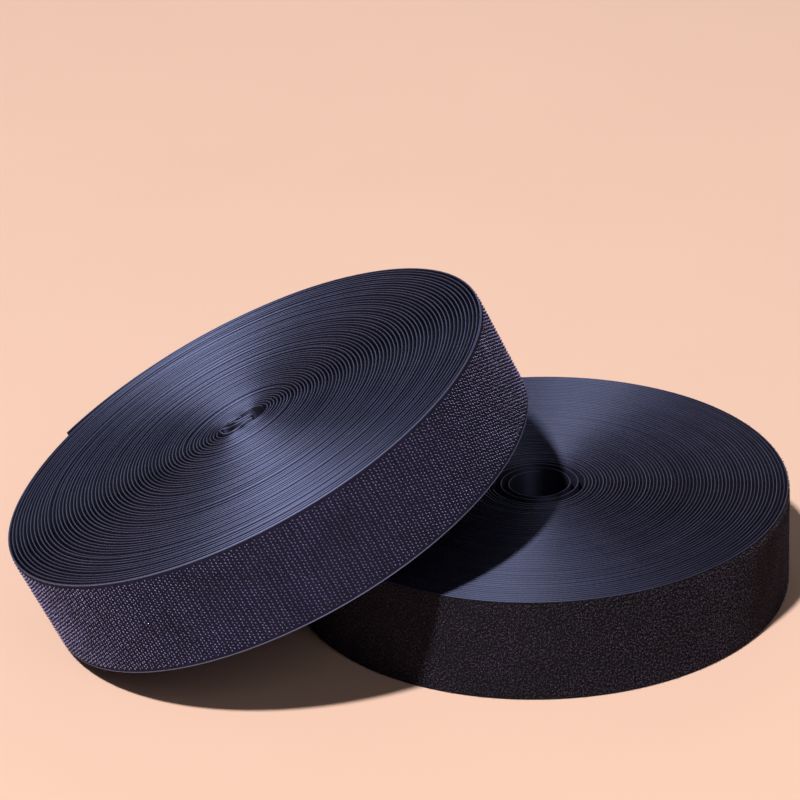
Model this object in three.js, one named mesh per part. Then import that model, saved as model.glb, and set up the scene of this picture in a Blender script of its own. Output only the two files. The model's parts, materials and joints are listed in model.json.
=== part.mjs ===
// A pair of hook and loop fastening tapes, each wound on itself into a roll without a spool.
// The loop roll lies flat, and the hook roll leans on it with its low side on the same surface.
// Millimetres, +Z up. The origin is the centre of the pair's footprint.
import * as THREE from "three";

// Both tapes
const TAPE_WIDTH = 50;
const TAPE_LENGTH = 25000;
const SELVEDGE = 3; // plain woven edge, left free of pile along both sides
const SEAT_CLEARANCE = 0.3; // between faces that lie on each other
const TAIL_LENGTH = 70; // loose outer end, which can be peeled off the roll
const WINDING_LOOPS = 17; // turns under the outermost one that are wound one by one
const LOOP_STEPS = 24; // straight steps in a turn
const RIM_STEPS = 48; // straight steps in the outermost turn

// Hook tape
const HOOK_WEB = 0.65;
const HOOK_PILE = 0.65; // height of the hooks above the web
const HOOK_EYE_RADIUS = 9;
const HOOK_END_ANGLE = 141; // where the outer end lies, in degrees from the roll's high side
const HOOK_TAIL_LIFT = 2; // how far the outer end stands off the turn below it
const FOLD_RADIUS = 3; // bend of the inner end, which is folded across the eye
const FOLD_FROM = 330; // degrees: the inner end leaves the winding here
const FOLD_AT = 150; // degrees: it bends off the wall of the eye here
const FOLD_TURN = 100; // degrees that it bends through
const FLAP_END_GAP = 3; // between the tape's inner end and the turn that it points at

// Loop tape
const LOOP_WEB = 0.55;
const LOOP_PILE = 0.55; // height of the brushed loops above the web
const LOOP_CORE_RADIUS = 21.5; // where the tight turns begin
const LOOP_EYE_RADIUS = 12.2; // inside of the loose turns
const LOOSE_TURNS = 2.25;
const LOOP_END_ANGLE = 115; // degrees, on the far side of the roll
const LOOP_TAIL_LIFT = 0.6;

// How the hook roll leans on the loop roll
const LEAN_ANGLE = 24.33; // degrees
const SIDE_OFFSET = 15.5; // the hook roll's axis lies this far nearer to the viewer

const HOOK_COLOUR = 0x1b1a2a;
const HOOK_ROUGHNESS = 0.6;
const LOOP_COLOUR = 0x14131d;
const LOOP_ROUGHNESS = 0.95;
const WEB_COLOUR = 0x25253a;
const WEB_ROUGHNESS = 0.7;

const FULL_TURN = 2 * Math.PI;
const radians = THREE.MathUtils.degToRad;

// A wound tape: its pitch, the radius of its web at the outer end, and the angle of that end.
function woundTape(web, pile, innerRadius, woundLength, endAngle, tailLift) {
  const pitch = web + pile + 2 * SEAT_CLEARANCE;
  const meanRadius = Math.sqrt(innerRadius ** 2 + (woundLength * pitch) / Math.PI);
  const endRadius = meanRadius + pitch / 2;
  const tailTurns = TAIL_LENGTH / (FULL_TURN * endRadius);
  const rootGapTurns = SEAT_CLEARANCE / (FULL_TURN * endRadius);
  return {
    web,
    pile,
    pitch,
    innerRadius,
    endRadius,
    endAngle: radians(endAngle),
    tailLift,
    tailTurns,
    rootGapTurns,
  };
}

// Outer face of the web, a number of turns back from the tape's outer end.
function webRadius(tape, turnsBack) {
  const intoTail = Math.max(0, 1 - turnsBack / tape.tailTurns);
  return tape.endRadius - tape.pitch * turnsBack + tape.tailLift * intoTail ** 2;
}

// Outer face of the web that shows at an angle round the roll, past the tape's end.
function rimRadius(tape, angle) {
  const past = THREE.MathUtils.euclideanModulo(angle - tape.endAngle, FULL_TURN) / FULL_TURN;
  return webRadius(tape, 1 - past);
}

// The four corners of a ribbon's section. The outer face can have sloping shoulders.
function section(inner, outer, low, high, shoulder = 0) {
  return [
    new THREE.Vector3(inner.x, inner.y, low),
    new THREE.Vector3(outer.x, outer.y, low + shoulder),
    new THREE.Vector3(outer.x, outer.y, high - shoulder),
    new THREE.Vector3(inner.x, inner.y, high),
  ];
}

function polar(radius, angle) {
  return new THREE.Vector2(radius * Math.cos(angle), radius * Math.sin(angle));
}

// One unbroken ribbon through a row of four-cornered sections, closed at both ends.
function ribbonGeometry(sections) {
  const corners = 4;
  const index = [];
  for (let i = 0; i + 1 < sections.length; i++) {
    for (let j = 0; j < corners; j++) {
      const a = i * corners + j;
      const b = i * corners + ((j + 1) % corners);
      index.push(a, a + corners, b + corners, a, b + corners, b);
    }
  }
  const last = (sections.length - 1) * corners;
  index.push(0, 1, 2, 0, 2, 3);
  index.push(last, last + 2, last + 1, last, last + 3, last + 2);
  const geometry = new THREE.BufferGeometry().setFromPoints(sections.flat());
  geometry.setIndex(index);
  geometry.computeVertexNormals();
  return geometry;
}

// Places along the tape, in turns back from its outer end, one for each straight step.
function turnsGrid(fromTurns, toTurns, steps) {
  const places = [];
  for (let k = 0; fromTurns - k / steps > toTurns + Number.EPSILON; k++) {
    places.push(fromTurns - k / steps);
  }
  places.push(toTurns);
  return places;
}

// Sections of the web, or of the pile that stands on it, at places along the wound tape.
function webSections(tape, places) {
  return places.map((turnsBack) => {
    const angle = tape.endAngle - FULL_TURN * turnsBack;
    const radius = webRadius(tape, turnsBack);
    return section(polar(radius - tape.web, angle), polar(radius, angle), 0, TAPE_WIDTH);
  });
}

function pileSections(tape, places) {
  return places.map((turnsBack) => {
    const angle = tape.endAngle - FULL_TURN * turnsBack;
    const seat = webRadius(tape, turnsBack) + SEAT_CLEARANCE;
    const low = SELVEDGE;
    const high = TAPE_WIDTH - SELVEDGE;
    return section(polar(seat, angle), polar(seat + tape.pile, angle), low, high, tape.pile);
  });
}

// The least distance between a ribbon's outer face and the inner face of its other turns.
function leastGap(sections, nearSteps) {
  const flat = (corner) => new THREE.Vector3(corner.x, corner.y, 0);
  const nearest = new THREE.Vector3();
  let gap = Infinity;
  sections.forEach((from, i) => {
    for (let k = i + nearSteps; k + 1 < sections.length; k++) {
      const chord = new THREE.Line3(flat(sections[k][0]), flat(sections[k + 1][0]));
      const point = flat(from[1]);
      chord.closestPointToPoint(point, true, nearest);
      gap = Math.min(gap, nearest.distanceTo(point));
    }
  });
  return gap;
}

function part(name, geometry, colour, roughness) {
  const material = new THREE.MeshStandardMaterial({ color: colour, roughness, metalness: 0 });
  const mesh = new THREE.Mesh(geometry, material);
  mesh.name = name;
  return mesh;
}

// The inner turns of a roll as one plain ring, on the same grid of steps as the turns around it.
function coreGeometry(tape, outerRadius) {
  const profile = [
    new THREE.Vector2(tape.innerRadius, 0),
    new THREE.Vector2(outerRadius, 0),
    new THREE.Vector2(outerRadius, TAPE_WIDTH),
    new THREE.Vector2(tape.innerRadius, TAPE_WIDTH),
    new THREE.Vector2(tape.innerRadius, 0),
  ];
  const rootAngle = tape.endAngle - FULL_TURN * tape.tailTurns;
  const quarterTurn = Math.PI / 2;
  const ring = new THREE.LatheGeometry(profile, LOOP_STEPS, rootAngle + quarterTurn);
  return ring.rotateX(quarterTurn);
}

// Where the tail bends away: the outer face of its pile, at its root.
function tailHinge(tape) {
  const angle = tape.endAngle - FULL_TURN * tape.tailTurns;
  const radius = webRadius(tape, tape.tailTurns) + SEAT_CLEARANCE + tape.pile;
  const point = polar(radius, angle);
  return new THREE.Vector3(point.x, point.y, 0);
}

// One roll: the plain core, the turns wound over it, the outermost turn with its pile, and the loose tail.
function roll(tape, name, pileColour, pileRoughness) {
  const group = new THREE.Group();
  const root = tape.tailTurns;
  const woundStart = root + 1 + WINDING_LOOPS;

  const coreRadius = webRadius(tape, woundStart) - tape.web - SEAT_CLEARANCE;
  group.add(part(`${name}_core_turns`, coreGeometry(tape, coreRadius), WEB_COLOUR, WEB_ROUGHNESS));

  const woundPlaces = turnsGrid(woundStart, root + 1 + tape.rootGapTurns, LOOP_STEPS);
  const wound = webSections(tape, woundPlaces);
  group.add(part(`${name}_wound_turns`, ribbonGeometry(wound), WEB_COLOUR, WEB_ROUGHNESS));

  const outerPlaces = turnsGrid(root + 1, root + tape.rootGapTurns, RIM_STEPS);
  const outer = webSections(tape, outerPlaces);
  group.add(part(`${name}_outer_turn`, ribbonGeometry(outer), WEB_COLOUR, WEB_ROUGHNESS));
  const gap = leastGap([...wound, ...outer], LOOP_STEPS / 2);
  console.log(`${name} winding: least gap to itself ${gap.toFixed(2)} mm`);

  const band = pileSections(tape, outerPlaces);
  group.add(part(`${name}_pile_band`, ribbonGeometry(band), pileColour, pileRoughness));

  const hinge = tailHinge(tape);
  const tail = new THREE.Group();
  tail.position.copy(hinge);
  const tailPlaces = turnsGrid(root, 0, RIM_STEPS);
  const web = ribbonGeometry(webSections(tape, tailPlaces));
  const pile = ribbonGeometry(pileSections(tape, tailPlaces));
  for (const geometry of [web, pile]) {
    geometry.translate(-hinge.x, -hinge.y, -hinge.z);
  }
  tail.add(part(`${name}_tail`, web, WEB_COLOUR, WEB_ROUGHNESS));
  tail.add(part(`${name}_tail_pile`, pile, pileColour, pileRoughness));
  group.add(tail);
  return group;
}

// The loop tape's loose inner turns: an open spiral from the wall of the core to the eye.
function looseTurns(tape) {
  const outside = tape.innerRadius - SEAT_CLEARANCE;
  const inside = LOOP_EYE_RADIUS + tape.web;
  const rootAngle = tape.endAngle - FULL_TURN * tape.tailTurns;
  const steps = Math.round(LOOSE_TURNS * LOOP_STEPS);
  const sections = [];
  for (let k = 0; k <= steps; k++) {
    const radius = inside + ((outside - inside) * k) / steps;
    const angle = rootAngle + (FULL_TURN * k) / LOOP_STEPS;
    sections.push(section(polar(radius - tape.web, angle), polar(radius, angle), 0, TAPE_WIDTH));
  }
  const gap = leastGap(sections, LOOP_STEPS / 2);
  console.log(`loop_inner_turns: least gap to itself ${gap.toFixed(2)} mm`);
  return part("loop_inner_turns", ribbonGeometry(sections), WEB_COLOUR, WEB_ROUGHNESS);
}

// The hook tape's inner end: it follows the wall of the eye, bends over and runs across the eye.
function foldedEnd(tape) {
  const wallApothem = tape.innerRadius * Math.cos(Math.PI / LOOP_STEPS);
  const wallRadius = wallApothem - SEAT_CLEARANCE - tape.web / 2;
  const foldCentre = polar(wallRadius - FOLD_RADIUS, radians(FOLD_AT));
  const bent = radians(FOLD_AT - FOLD_TURN);
  const flapStart = polar(FOLD_RADIUS, bent).add(foldCentre);
  const flapWay = polar(1, bent - Math.PI / 2);
  const reach = wallRadius - tape.web / 2 - FLAP_END_GAP;
  const along = flapStart.dot(flapWay);
  const flapLength = Math.sqrt(along ** 2 - flapStart.lengthSq() + reach ** 2) - along;
  const flapEnd = flapStart.clone().addScaledVector(flapWay, flapLength);

  const path = new THREE.CurvePath();
  path.add(new THREE.ArcCurve(0, 0, wallRadius, radians(FOLD_FROM), radians(FOLD_AT), true));
  path.add(new THREE.ArcCurve(foldCentre.x, foldCentre.y, FOLD_RADIUS, radians(FOLD_AT), bent, true));
  path.add(new THREE.LineCurve(flapStart, flapEnd));

  const sections = path.curves.flatMap((curve, i) => {
    const steps = curve.isLineCurve ? 1 : Math.ceil(LOOP_STEPS / 2);
    const places = Array.from({ length: steps + 1 }, (_, k) => k / steps).slice(i ? 1 : 0);
    return places.map((place) => {
      const point = curve.getPoint(place);
      const way = curve.getTangent(place);
      const left = new THREE.Vector2(-way.y, way.x).multiplyScalar(tape.web / 2);
      return section(point.clone().add(left), point.clone().sub(left), 0, TAPE_WIDTH);
    });
  });
  return part("hook_inner_end", ribbonGeometry(sections), WEB_COLOUR, WEB_ROUGHNESS);
}

const looseLength = Math.PI * LOOSE_TURNS * (LOOP_CORE_RADIUS + LOOP_EYE_RADIUS);
const loopTape = woundTape(
  LOOP_WEB,
  LOOP_PILE,
  LOOP_CORE_RADIUS,
  TAPE_LENGTH - looseLength,
  LOOP_END_ANGLE,
  LOOP_TAIL_LIFT,
);
const hookTape = woundTape(HOOK_WEB, HOOK_PILE, HOOK_EYE_RADIUS, TAPE_LENGTH, HOOK_END_ANGLE, HOOK_TAIL_LIFT);

const loopRoll = roll(loopTape, "loop", LOOP_COLOUR, LOOP_ROUGHNESS);
loopRoll.add(looseTurns(loopTape));

// The hook roll is turned about Y: its low rim meets the surface, and its face the loop roll's rim.
const hookRoll = roll(hookTape, "hook", HOOK_COLOUR, HOOK_ROUGHNESS);
hookRoll.add(foldedEnd(hookTape));
const lean = radians(LEAN_ANGLE);
const lowSide = Math.PI;
const faceHeight = rimRadius(hookTape, lowSide) * Math.sin(lean);
const rimX = -rimRadius(loopTape, lowSide);
const rimRise = (faceHeight - TAPE_WIDTH) * Math.cos(lean) - SEAT_CLEARANCE;
hookRoll.rotation.y = -lean;
hookRoll.position.set(rimX + rimRise / Math.sin(lean), -SIDE_OFFSET, faceHeight);

const rolls = new THREE.Group();
rolls.add(loopRoll, hookRoll);
const box = new THREE.Box3().setFromObject(rolls, true);
const middle = box.getCenter(new THREE.Vector3());
rolls.position.set(-middle.x, -middle.y, -box.min.z);

export default rolls;
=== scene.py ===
"""A pair of hook and loop tapes, each wound on itself into a roll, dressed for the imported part.

The frame gives where the two rolls lie. The tapes, their hooks and their brushed loops are grown
here from a few sizes, each piece in its place in the row frame.
"""

import json
import math

import bpy
import numpy as np
from mathutils import Matrix, Vector


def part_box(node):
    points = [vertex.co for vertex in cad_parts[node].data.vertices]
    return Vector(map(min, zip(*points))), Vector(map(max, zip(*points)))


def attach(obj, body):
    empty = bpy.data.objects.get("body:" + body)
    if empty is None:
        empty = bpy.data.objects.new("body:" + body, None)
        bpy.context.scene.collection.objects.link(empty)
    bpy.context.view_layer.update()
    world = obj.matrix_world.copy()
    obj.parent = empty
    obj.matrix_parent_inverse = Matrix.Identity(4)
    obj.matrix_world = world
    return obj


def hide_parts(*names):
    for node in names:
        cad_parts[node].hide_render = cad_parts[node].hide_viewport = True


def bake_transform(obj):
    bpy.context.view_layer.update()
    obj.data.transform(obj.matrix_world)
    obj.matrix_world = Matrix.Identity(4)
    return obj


bl_info = {
    "name": "Hook and loop tape rolls",
    "version": (1, 0, 0),
    "blender": (4, 5, 0),
    "location": "View3D > Sidebar > Tape Rolls",
    "description": "Winds a hook tape and a loop tape into two rolls and sets them on a stage",
    "category": "Object",
}

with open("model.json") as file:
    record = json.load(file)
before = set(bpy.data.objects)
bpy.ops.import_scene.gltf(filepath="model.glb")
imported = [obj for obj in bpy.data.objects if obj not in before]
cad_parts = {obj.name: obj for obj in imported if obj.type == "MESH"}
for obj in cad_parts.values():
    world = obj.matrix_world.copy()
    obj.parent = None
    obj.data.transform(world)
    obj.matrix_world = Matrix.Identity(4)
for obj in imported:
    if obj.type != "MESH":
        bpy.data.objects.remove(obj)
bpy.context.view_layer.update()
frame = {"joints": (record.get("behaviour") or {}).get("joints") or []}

FULL_TURN = 2 * math.pi
MM = 0.001
TINY = 1e-6

# Sizes that the part's source holds too
SEAT_CLEARANCE = 0.3 * MM
TAIL_LENGTH = 70 * MM
HOOK_EYE_RADIUS = 9 * MM
HOOK_END_ANGLE = math.radians(141)
HOOK_TAIL_LIFT = 2 * MM
FOLD_FROM = math.radians(330)
LOOP_CORE_RADIUS = 21.5 * MM
LOOP_EYE_RADIUS = 12.2 * MM
LOOSE_TURNS = 2.25
LOOP_END_ANGLE = math.radians(115)
LOOP_TAIL_LIFT = 0.6 * MM

# The hook roll's eye, pressed oval, with the tape's inner end crumpled in it
EYE_OVAL = 3.2 * MM
EYE_OVAL_REACH = 45 * MM
EYE_OVAL_ANGLE = math.radians(26)
EYE_WALL_STEPS = 8
FOLD_AT = math.radians(204)
FOLD_PROUD = 0.7 * MM
FOLD_STEPS = 6
FOLD_WAVE = 0.9 * MM
FOLD_WAVE_LENGTH = 12 * MM
FOLD_CORNERS = (
    ((-10.2, -2.6), (-8.9, -1.3), (-6.4, -1.7), (-2.5, -2.6), (2.0, -2.2))
    + ((5.0, -0.9), (5.9, 0.4), (4.6, 1.4), (1.2, 0.4), (-2.6, -0.2))
    + ((-6.0, 0.9), (-7.1, 2.5), (-5.6, 3.8), (-2.6, 3.4), (0.4, 2.6))
)

# How finely the tapes are drawn: steps to a turn, and the least points of a stretch
WINDING_STEPS = 112
TAIL_STEPS = 1000
FILLING_STEPS = 64
LEAST_POINTS = 8

# How the turns stray: the loop tape lies more evenly than the hook tape
LOOSENESS = {"hook": 1.0, "loop": 0.45}
TURN_WANDER = 0.3 * MM
WANDER_RATE = 4.0
WANDER_TURNS = 3.0
LOOSE_WAVE = 0.5 * MM
WAVE_LENGTH = 200 * MM

# Edges of a section: share of its thickness that is rounded, and steps of the rounding
SLIGHT_ROUND = (0.2, 1)
FULL_ROUND = (0.38, 2)

# The most rise of an edge thread's face, in roundings, and the most bend of a smooth edge
EDGE_RISE = 1.5
SHARP_BEND = 0.6

# The outermost threads of the hook tape, which stand proud
RIM_WIDTH = 0.5 * MM
RIM_THICKNESS = 0.3 * MM

# The pile and its ground, with the bare edges beside them as shares of the selvedge
FILLING_EDGE = {"hook": 1.0, "loop": 0.3}
FIELD_EDGE = {"hook": 0.95, "loop": 0.4}
FILLING_SHARE = 0.96
GROUND_THICKNESS = 0.16 * MM
GROUND_MARGIN = 0.25 * MM

# The share of a tail, counted from its outer end, at which a point on its wall is taken
BLEND_END = 0.7

# A hook and a loop. A bend is its start, its two handles and its end, in heights
FILAMENT_SIDES = 3
LEAST_COLUMNS = 2
HOOK_BEND = ((0.0, 0.0, 0.0), (1.25, 0.0, 0.0), (1.3, 1.5, 0.0), (0.45, 1.3, 0.0))
HOOK_BEND_STEPS = 5
HOOK_FILAMENT = 0.2 * MM
HOOK_LOW = 0.88
HOOK_SLANT = math.radians(70)
HOOK_STRAY = 0.25
HOOK_JITTER = 0.22
HOOK_LEAST = 0.82
HOOK_PIECES = 3
LOOP_BEND = ((0.0, -0.35, 0.0), (1.3, -1.1, 0.0), (1.3, 1.1, 0.5), (0.0, 0.35, 0.25))
LOOP_BEND_STEPS = 3
LOOP_FILAMENT = 0.095 * MM
LOOP_TILT = 0.35
LOOP_JITTER = 1.6
LOOP_LEAST = 0.65
LOOP_PIECES = 4

# Seeds of all that is random
FIELD_SEED = 11
TAIL_SEED = 31
FILLING_SEED = 7.0
FOLD_SEED = 2.0
LOOSE_SEED = 4.0
FOOT_SEED = 3.0
SEED_STRIDE = 17.3
SALTS = {"column": 1, "row": 2, "spin": 3, "size": 4, "shade": 5, "tilt": 6, "twist": 7}

# The yarns: sizes of the threads along and across the tape, their tones and their gloss
FINE_WEAVE = (0.55 * MM, 0.42 * MM)
GROUND_WEAVE = (0.7 * MM, 0.6 * MM)
YARN_TINT = (0.5, 0.58, 1.0, 1.0)
HOOK_TINT = (0.72, 0.78, 1.0, 1.0)
CLOUD_RANGE = (0.3, 0.7)
STREAK_SHARE = 0.7
BAND_SHARE = 0.8
EDGE_GLOSS = 0.72
FOLD_GLOSS = 0.35
RIM_GLOSS = 0.3

# The floor, the share of its light that reaches the rolls, and the sky as seen and as a light
FLOOR_BOUNCE = 0.7
FLOOR_RADIUS = 2.8
FLOOR_SIDES = 128
SKY_COLOUR = (1.0, 0.92, 0.88, 1.0)
SKY_SEEN = 0.8
SKY_LIGHT = 0.06

# The lamps: name, place, width, power and colour
LAMPS = (
    ("key", (-2.28, -3.31, 6.9), 0.55, 680.0, (1.0, 0.98, 0.96)),
    ("front", (1.8, -3.5, 3.2), 2.5, 16.0, (1.0, 0.98, 0.97)),
    ("back", (0.2, 3.2, 1.7), 3.2, 10.0, (0.97, 1.0, 1.0)),
)
LAMP_TARGET = Vector((0, 0, 50 * MM))

# The camera, as the photograph was taken
CAMERA_PLACE = Vector((0.00162, -1.4692, 0.7949))
CAMERA_TARGET = Vector((0.00162, 0.21326, 0.0))
CAMERA_ROLL = math.radians(-2.31)
CAMERA_LENS = 157.5
CAMERA_SENSOR = 36.0
CAMERA_RANGE = (0.05, 30.0)


def length(name, description, default):
    return bpy.props.FloatProperty(
        name=name, description=description, default=default, unit="LENGTH"
    )


def colour(name, description, default):
    return bpy.props.FloatVectorProperty(
        name=name, description=description, default=default, subtype="COLOR", size=3, min=0, max=1
    )


class TapeSizes(bpy.types.PropertyGroup):
    """Sizes of the two tapes."""

    width: length("Tape Width", "Width of both tapes", 50 * MM)
    length: length("Tape Length", "Length of tape on each roll", 25.0)
    selvedge: length("Selvedge", "Plain woven edge, free of hooks or loops", 3 * MM)
    hook_web: length("Hook Web", "Thickness of the hook tape's woven ground", 0.65 * MM)
    hook_height: length("Hook Height", "Height that the hooks keep the turns apart", 0.65 * MM)
    loop_web: length("Loop Web", "Thickness of the loop tape's woven ground", 0.55 * MM)
    loop_height: length("Loop Height", "Height that the loops keep the turns apart", 0.55 * MM)
    hook_spacing: length("Hook Spacing", "Distance between hooks along the tape", 1.85 * MM)
    hook_row: length("Hook Row", "Distance between rows of hooks across the tape", 1.6 * MM)
    loop_spacing: length("Loop Spacing", "Mean distance between brushed loops", 0.96 * MM)
    edge_thickness: length("Edge Thickness", "Thickness of both tapes at their edges", 0.5 * MM)
    edge_wave: length("Edge Wave", "How far single turns stand proud of a face", 0.7 * MM)


class TapeColours(bpy.types.PropertyGroup):
    """Colours of the yarns, the hooks and the floor."""

    # Hook Web and Loop Web are far darker than the edges: painted shade on the web faces between
    # the turns
    hook_web: colour("Hook Web", "Woven ground of the hook tape", (0.011, 0.009, 0.019))
    # The hooks' colour stands well above the ground's: partly the nylon's own tone, partly painted
    # highlight on the hook tops
    hooks: colour("Hooks", "Nylon filament of the hooks", (0.250, 0.236, 0.500))
    hook_edge: colour("Hook Edge", "Glossy edge threads, hook tape", (0.042, 0.042, 0.080))
    loop_edge: colour("Loop Edge", "Glossy edge threads, loop tape", (0.024, 0.022, 0.046))
    # Hook Ground and Loop Ground are far darker than the hooks and loops: the yarn's own dark
    # colour plus painted shade among the pile
    hook_ground: colour("Hook Ground", "Matt ground between hooks", (0.0135, 0.0125, 0.037))
    loop_ground: colour("Loop Ground", "Matt ground under the loops", (0.007, 0.006, 0.011))
    # Darkened as painted shade between the turns, as for the hook web
    loop_web: colour("Loop Web", "Woven ground of the loop tape", (0.017, 0.014, 0.027))
    loops: colour("Loops", "Brushed loops", (0.074, 0.057, 0.106))
    floor: colour("Floor", "Plain pale floor", (0.93, 0.62, 0.485))


def sizes():
    return bpy.context.scene.tape_sizes


def colours():
    return bpy.context.scene.tape_colours


class Roll:
    """One wound tape: where it lies and the rule that its turns follow."""

    def __init__(self, name, web, pile, inner_radius, wound_length, end_angle, tail_lift):
        self.name = name
        self.web = web
        self.pile = pile
        self.inner_radius = inner_radius
        self.end_angle = end_angle
        self.tail_lift = tail_lift
        self.pitch = web + pile + 2 * SEAT_CLEARANCE
        mean_radius = math.sqrt(inner_radius**2 + wound_length * self.pitch / math.pi)
        self.end_radius = mean_radius + self.pitch / 2
        self.tail_turns = TAIL_LENGTH / (FULL_TURN * self.end_radius)
        self.root_angle = end_angle - FULL_TURN * self.tail_turns
        self.lean = lean_angle() if name == "hook" else 0.0
        self.looseness = LOOSENESS[name]
        low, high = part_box(name + "_core_turns")
        axis = Vector((-math.sin(self.lean), 0, math.cos(self.lean)))
        self.place = (low + high) / 2 - axis * sizes().width / 2

    def turns_at(self, outer_radius):
        """Turns back from the tape's end to where the web's outer face has that radius."""
        return (self.end_radius - outer_radius) / self.pitch

    def wall_point(self, turns_back, height):
        """A point on the outer face of the web, in the row frame."""
        angle = self.end_angle - FULL_TURN * turns_back
        radius = self.end_radius - self.pitch * turns_back
        point = Vector((radius * math.cos(angle), radius * math.sin(angle), height))
        return self.place + Matrix.Rotation(-self.lean, 3, "Y") @ point


def lean_angle():
    """How far the hook roll leans over, read from the axis of its tail's joint."""
    joint = next(j for j in frame["joints"] if j["name"] == "hook_tail_peel")
    x, _, z = joint["axis"]
    return math.atan2(abs(x), abs(z))


def hook_roll():
    size = sizes()
    tape = size.hook_web, size.hook_height
    return Roll("hook", *tape, HOOK_EYE_RADIUS, size.length, HOOK_END_ANGLE, HOOK_TAIL_LIFT)


def loop_roll():
    size = sizes()
    tape = size.loop_web, size.loop_height
    loose = math.pi * LOOSE_TURNS * (LOOP_CORE_RADIUS + LOOP_EYE_RADIUS)
    wound = size.length - loose
    return Roll("loop", *tape, LOOP_CORE_RADIUS, wound, LOOP_END_ANGLE, LOOP_TAIL_LIFT)


# Node helpers


def feed(tree, socket, value):
    if isinstance(value, bpy.types.NodeSocket):
        tree.links.new(value, socket)
    else:
        socket.default_value = value


def feed_all(tree, sockets, values):
    for key, value in values.items():
        feed(tree, sockets[key], value)


def put(tree, kind, inputs=None, **settings):
    """Adds a node, with its settings, its input values and its input links."""
    node = tree.nodes.new(kind)
    for key, value in settings.items():
        setattr(node, key, value)
    feed_all(tree, node.inputs, inputs or {})
    return node


def result(tree, kind, inputs=None, **settings):
    """The first output of a new node."""
    return put(tree, kind, inputs, **settings).outputs[0]


def calc(tree, operation, *values):
    """A Math node's result."""
    node = put(tree, "ShaderNodeMath", operation=operation)
    for socket, value in zip(node.inputs, values):
        feed(tree, socket, value)
    return node.outputs[0]


def chain(tree, operation, values):
    """A Math node's result on the first two values, then on that and the next, to the last."""
    total = values[0]
    for value in values[1:]:
        total = calc(tree, operation, total, value)
    return total


def plus(tree, *values):
    return chain(tree, "ADD", values)


def times(tree, *values):
    return chain(tree, "MULTIPLY", values)


def less(tree, value, taken):
    return calc(tree, "SUBTRACT", value, taken)


def over(tree, value, divisor):
    return calc(tree, "DIVIDE", value, divisor)


def at_least(tree, value, limit):
    return calc(tree, "MAXIMUM", value, limit)


def scaled(tree, value, factor, start):
    return calc(tree, "MULTIPLY_ADD", value, factor, start)


def ranged(tree, value, low, high, to_low, to_high):
    """A value moved from one range into another, and held inside it."""
    names = ("Value", "From Min", "From Max", "To Min", "To Max")
    values = (value, low, high, to_low, to_high)
    return result(tree, "ShaderNodeMapRange", dict(zip(names, values)))


def vector(tree, x=0.0, y=0.0, z=0.0):
    return result(tree, "ShaderNodeCombineXYZ", {"X": x, "Y": y, "Z": z})


def parts_of(tree, value):
    return put(tree, "ShaderNodeSeparateXYZ", {"Vector": value}).outputs


def position(tree):
    return parts_of(tree, result(tree, "GeometryNodeInputPosition"))


def noise_line(tree, place, scale, seed, detail=2.0):
    """Noise from -1 to 1 along a line."""
    shifted = plus(tree, times(tree, place, scale), times(tree, seed, SEED_STRIDE))
    values = {"W": shifted, "Scale": 1.0, "Detail": detail}
    noise = result(tree, "ShaderNodeTexNoise", values, noise_dimensions="1D")
    return scaled(tree, noise, factor=2.0, start=-1.0)


def add_sockets(tree, way, sockets):
    for label, kind in sockets:
        tree.interface.new_socket(label, in_out=way, socket_type="NodeSocket" + kind)


def new_tree(name, inputs, outputs=(("Geometry", "Geometry"),), kind="GeometryNodeTree"):
    """An empty tree with named sockets, its input sockets and its output node."""
    tree = bpy.data.node_groups.new(name, kind)
    add_sockets(tree, "INPUT", inputs)
    add_sockets(tree, "OUTPUT", outputs)
    return tree, put(tree, "NodeGroupInput").outputs, put(tree, "NodeGroupOutput")


def tree_named(name, maker):
    return bpy.data.node_groups.get(name) or maker()


def named(tree, name):
    """A number that is kept on the points under that name."""
    node = put(tree, "GeometryNodeInputNamedAttribute", {"Name": name}, data_type="FLOAT")
    return next(socket for socket in node.outputs if socket.enabled)


def keep(tree, geometry, name, value, data_type="FLOAT", domain="POINT"):
    """Stores a named attribute."""
    kind = "GeometryNodeStoreNamedAttribute"
    values = {"Geometry": geometry, "Name": name, "Value": value}
    return result(tree, kind, values, data_type=data_type, domain=domain)


# Trees that the pieces are grown with


def floats(*labels):
    return [(label, "Float") for label in labels]


PLACE_INPUTS = [("Place", "Vector"), ("Lean", "Float"), ("Material", "Material")]

SECTION_INPUTS = [
    *floats("Thickness", "Bevel"),
    ("Bevel Steps", "Int"),
    *floats("Low Edge", "High Edge", "Edge Wave", "Wave Length", "Seed"),
    *floats("Eye Radius", "Eye Oval", "Oval Reach", "Oval Angle"),
    *PLACE_INPUTS,
]

SPIRAL_INPUTS = floats(
    "From Turns", "To Turns", "End Radius", "Pitch", "End Angle", "Tail Turns", "Tail Lift"
)

FIELD_INPUTS = [
    ("Columns", "Int"),
    ("Rows", "Int"),
    *floats("Low Edge", "High Edge"),
    ("Seed", "Int"),
    *floats("Height", "Filament"),
    *PLACE_INPUTS,
]


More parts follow.
